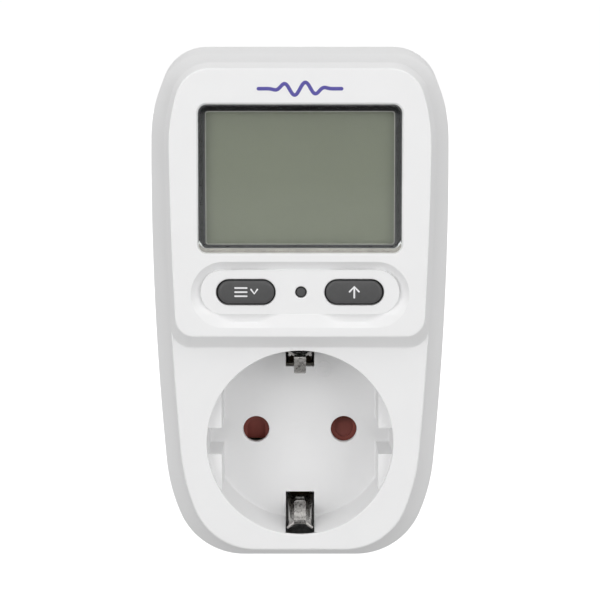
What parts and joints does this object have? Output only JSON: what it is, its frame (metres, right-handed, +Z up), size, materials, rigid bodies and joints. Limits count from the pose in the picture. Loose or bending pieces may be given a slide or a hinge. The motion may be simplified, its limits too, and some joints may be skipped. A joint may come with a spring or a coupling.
{
  "type": "plug-in power meter",
  "caption": "Plug-in mains power meter: earthed plug behind, shuttered earthed socket in front, with a liquid-crystal display, two long keys and a recessed reset key.",
  "frame": {"origin": "centre of the plug's end face, midway between its two pins", "axes": "+Y along the pins into the wall, +Z up through the display, the front faces -Y"},
  "size_m": [0.063, 0.0786, 0.1089],
  "materials": {
    "case_abs": "fine matt white",
    "lens_acrylic": "polished clear",
    "frame_black": "matt black",
    "lcd": "greenish grey, fine grain",
    "zebra_rubber": "matt",
    "board": "green solder resist",
    "chip_black": "moulded resin",
    "steel_can": "satin",
    "switch_black": "matt",
    "key_grey": "satin dark grey",
    "plunger_ivory": "satin",
    "cell_sleeve": "shrink sleeve",
    "nickel": "nickel-plated spring bronze",
    "shutter_brown": "satin red-brown",
    "spring_steel": "bright",
    "carrier_cream": "cream thermoset",
    "brass_contact": "satin",
    "bronze_dark": "blackened bronze",
    "pin_nickel": "nickel-plated brass",
    "manganin": "dull",
    "copper": "satin copper",
    "wire_brown": "PVC",
    "wire_blue": "PVC",
    "cap_yellow": "moulded box",
    "cap_sleeve": "shrink sleeve",
    "varistor_blue": "dipped",
    "resistor_blue": "lacquer",
    "ribbon_grey": "PVC",
    "screw_zinc": "zinc-plated",
    "label_silver": "matt silver foil"
  },
  "bodies": {
    "housing": {"front_cover": "case_abs", "back_cover": "case_abs", "display_lens": "lens_acrylic", "lcd_frame": "frame_black", "lcd_glass": "lcd", "lcd_contacts": "zebra_rubber", "display_pcb": "board", "display_chip": "chip_black", "crystal": "steel_can", "key_switches": "switch_black", "backup_battery": "cell_sleeve", "battery_tabs": "nickel", "shutter_spring": "spring_steel", "contact_carrier": "carrier_cream", "line_contact": "brass_contact", "neutral_contact": "brass_contact", "earth_strap": "bronze_dark", "earth_rivets": "bronze_dark", "plug_earth_top": "nickel", "plug_earth_bottom": "nickel", "line_pin": "pin_nickel", "neutral_pin": "pin_nickel", "shunt_resistor": "manganin", "shunt_ends": "copper", "neutral_link": "brass_contact", "line_wire": "wire_brown", "neutral_wire": "wire_blue", "main_pcb": "board", "metering_chip": "chip_black", "film_capacitor": "cap_yellow", "smoothing_capacitor": "cap_sleeve", "varistor": "varistor_blue", "dropper_resistors": "resistor_blue", "diodes": "chip_black", "ribbon_cable": "ribbon_grey", "pcb_screws": "screw_zinc", "case_screws": "screw_zinc", "rating_label": "label_silver"},
    "mode_button": {"mode_key": "key_grey", "mode_plunger": "plunger_ivory"},
    "up_button": {"up_key": "key_grey", "up_plunger": "plunger_ivory"},
    "reset_button": {"reset_key": "key_grey", "reset_plunger": "plunger_ivory"},
    "shutter_rotor": {"shutter": "shutter_brown"},
    "earth_spring_top": {"earth_clip_top": "nickel"},
    "earth_spring_bottom": {"earth_clip_bottom": "nickel"}
  },
  "joints": [
    {"name": "mode_press", "type": "slide", "parent": "housing", "child": "mode_button", "axis": [0, 1, 0], "range_m": [0, 0.0008], "stiffness_N_per_m": 500},
    {"name": "up_press", "type": "slide", "parent": "housing", "child": "up_button", "axis": [0, 1, 0], "range_m": [0, 0.0008], "stiffness_N_per_m": 500},
    {"name": "reset_press", "type": "slide", "parent": "housing", "child": "reset_button", "axis": [0, 1, 0], "range_m": [0, 0.0005], "stiffness_N_per_m": 500},
    {"name": "shutter_turn", "type": "hinge", "parent": "housing", "child": "shutter_rotor", "pos_m": [0, -0.0348, 0], "axis": [0, 1, 0], "range_deg": [0, 36], "stiffness_Nm_per_rad": 0.004},
    {"name": "earth_top_flex", "type": "hinge", "parent": "housing", "child": "earth_spring_top", "pos_m": [0, -0.0306, 0.0165], "axis": [-1, 0, 0], "range_deg": [0, 8], "stiffness_Nm_per_rad": 1.2},
    {"name": "earth_bottom_flex", "type": "hinge", "parent": "housing", "child": "earth_spring_bottom", "pos_m": [0, -0.0306, -0.0165], "axis": [1, 0, 0], "range_deg": [0, 8], "stiffness_Nm_per_rad": 1.2}
  ]
}
